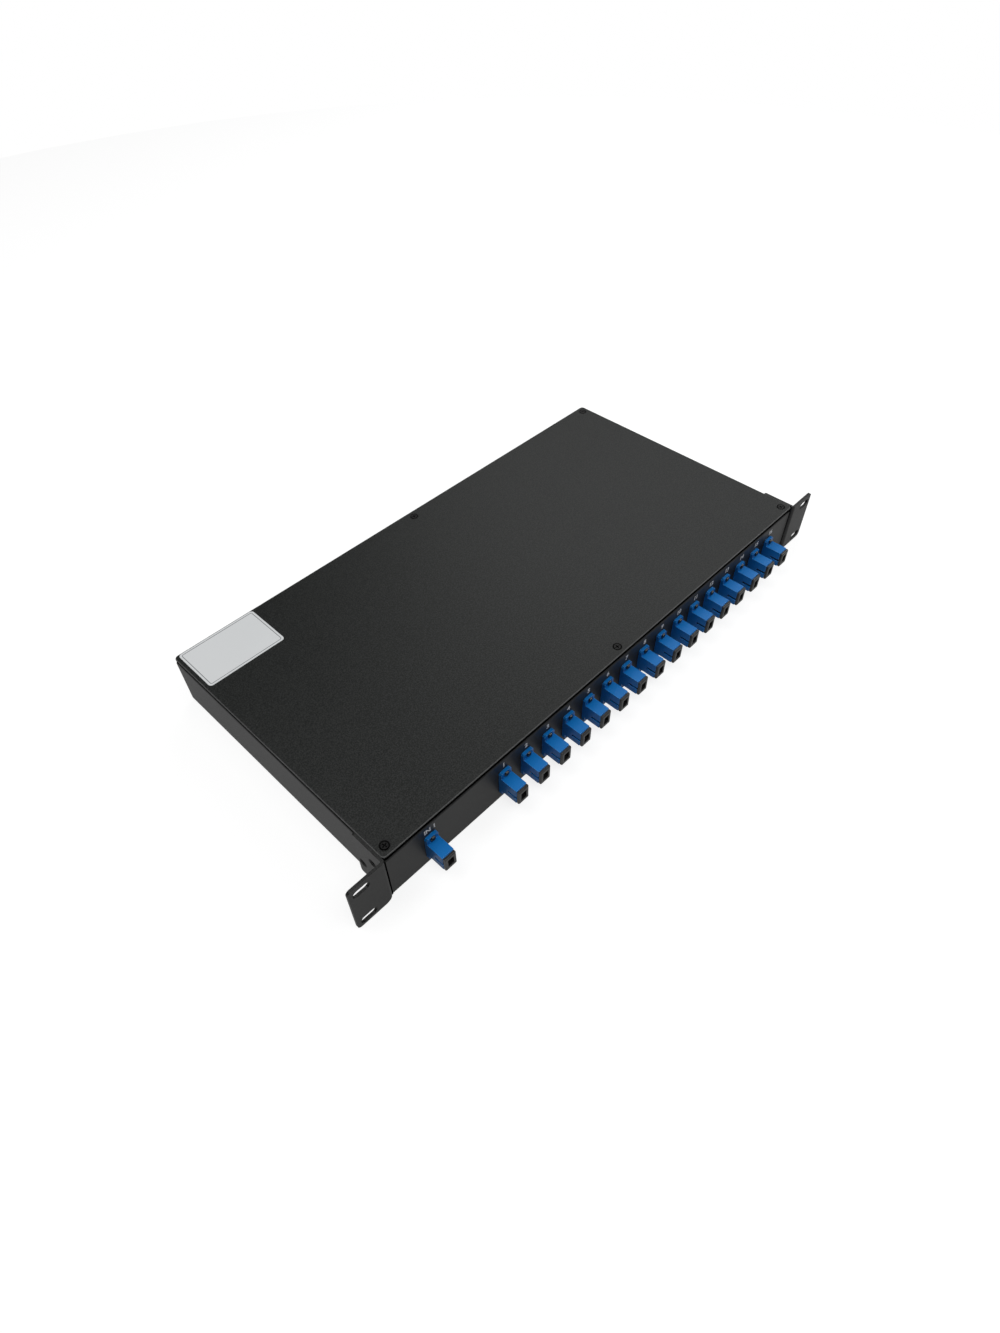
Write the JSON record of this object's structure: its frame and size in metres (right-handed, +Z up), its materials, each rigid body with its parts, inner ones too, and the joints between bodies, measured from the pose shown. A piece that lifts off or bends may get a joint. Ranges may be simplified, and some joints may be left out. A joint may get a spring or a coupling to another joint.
{
  "type": "plc fibre splitter",
  "caption": "Flat black rack-mount fibre splitter box with two slotted ears and a row of blue flanged fibre adapters, each closed by a pull-off dust cap.",
  "frame": {"origin": "middle of the underside of the box, on the surface that it stands on", "axes": "+X along the front panel to its right end, +Y from the front panel to the back, +Z up through the cover"},
  "size_m": [0.4826, 0.2364, 0.0441],
  "materials": {
    "case_paint": "fine-texture black powder coat",
    "cover_paint": "fine-texture black powder coat",
    "ear_paint": "fine-texture black powder coat",
    "foam": "matt black foam",
    "black_steel": "black oxide",
    "label_silver": "satin silver film",
    "module_metal": "plain",
    "adapter_plastic": "satin blue moulding",
    "cap_plastic": "satin black moulding"
  },
  "bodies": {
    "box": {"base_tray": "case_paint", "top_cover": "cover_paint", "cover_seal": "foam", "cover_screws": "black_steel", "ear_left": "ear_paint", "ear_right": "ear_paint", "ear_screws": "black_steel", "cover_label": "label_silver", "splitter_module": "module_metal", "strap_left": "module_metal", "strap_right": "module_metal", "adapter_in": "adapter_plastic", "adapter_01": "adapter_plastic", "adapter_02": "adapter_plastic", "adapter_03": "adapter_plastic", "adapter_04": "adapter_plastic", "adapter_05": "adapter_plastic", "adapter_06": "adapter_plastic", "adapter_07": "adapter_plastic", "adapter_08": "adapter_plastic", "adapter_09": "adapter_plastic", "adapter_10": "adapter_plastic", "adapter_11": "adapter_plastic", "adapter_12": "adapter_plastic", "adapter_13": "adapter_plastic", "adapter_14": "adapter_plastic", "adapter_15": "adapter_plastic", "adapter_16": "adapter_plastic"},
    "dust_cap_in": {"cap_in": "cap_plastic"},
    "dust_cap_01": {"cap_01": "cap_plastic"},
    "dust_cap_02": {"cap_02": "cap_plastic"},
    "dust_cap_03": {"cap_03": "cap_plastic"},
    "dust_cap_04": {"cap_04": "cap_plastic"},
    "dust_cap_05": {"cap_05": "cap_plastic"},
    "dust_cap_06": {"cap_06": "cap_plastic"},
    "dust_cap_07": {"cap_07": "cap_plastic"},
    "dust_cap_08": {"cap_08": "cap_plastic"},
    "dust_cap_09": {"cap_09": "cap_plastic"},
    "dust_cap_10": {"cap_10": "cap_plastic"},
    "dust_cap_11": {"cap_11": "cap_plastic"},
    "dust_cap_12": {"cap_12": "cap_plastic"},
    "dust_cap_13": {"cap_13": "cap_plastic"},
    "dust_cap_14": {"cap_14": "cap_plastic"},
    "dust_cap_15": {"cap_15": "cap_plastic"},
    "dust_cap_16": {"cap_16": "cap_plastic"}
  },
  "joints": [
    {"name": "pull_cap_in", "type": "slide", "parent": "box", "child": "dust_cap_in", "axis": [0, -1, 0], "range_m": [0, 0.03]},
    {"name": "pull_cap_01", "type": "slide", "parent": "box", "child": "dust_cap_01", "axis": [0, -1, 0], "range_m": [0, 0.03]},
    {"name": "pull_cap_02", "type": "slide", "parent": "box", "child": "dust_cap_02", "axis": [0, -1, 0], "range_m": [0, 0.03]},
    {"name": "pull_cap_03", "type": "slide", "parent": "box", "child": "dust_cap_03", "axis": [0, -1, 0], "range_m": [0, 0.03]},
    {"name": "pull_cap_04", "type": "slide", "parent": "box", "child": "dust_cap_04", "axis": [0, -1, 0], "range_m": [0, 0.03]},
    {"name": "pull_cap_05", "type": "slide", "parent": "box", "child": "dust_cap_05", "axis": [0, -1, 0], "range_m": [0, 0.03]},
    {"name": "pull_cap_06", "type": "slide", "parent": "box", "child": "dust_cap_06", "axis": [0, -1, 0], "range_m": [0, 0.03]},
    {"name": "pull_cap_07", "type": "slide", "parent": "box", "child": "dust_cap_07", "axis": [0, -1, 0], "range_m": [0, 0.03]},
    {"name": "pull_cap_08", "type": "slide", "parent": "box", "child": "dust_cap_08", "axis": [0, -1, 0], "range_m": [0, 0.03]},
    {"name": "pull_cap_09", "type": "slide", "parent": "box", "child": "dust_cap_09", "axis": [0, -1, 0], "range_m": [0, 0.03]},
    {"name": "pull_cap_10", "type": "slide", "parent": "box", "child": "dust_cap_10", "axis": [0, -1, 0], "range_m": [0, 0.03]},
    {"name": "pull_cap_11", "type": "slide", "parent": "box", "child": "dust_cap_11", "axis": [0, -1, 0], "range_m": [0, 0.03]},
    {"name": "pull_cap_12", "type": "slide", "parent": "box", "child": "dust_cap_12", "axis": [0, -1, 0], "range_m": [0, 0.03]},
    {"name": "pull_cap_13", "type": "slide", "parent": "box", "child": "dust_cap_13", "axis": [0, -1, 0], "range_m": [0, 0.03]},
    {"name": "pull_cap_14", "type": "slide", "parent": "box", "child": "dust_cap_14", "axis": [0, -1, 0], "range_m": [0, 0.03]},
    {"name": "pull_cap_15", "type": "slide", "parent": "box", "child": "dust_cap_15", "axis": [0, -1, 0], "range_m": [0, 0.03]},
    {"name": "pull_cap_16", "type": "slide", "parent": "box", "child": "dust_cap_16", "axis": [0, -1, 0], "range_m": [0, 0.03]}
  ]
}
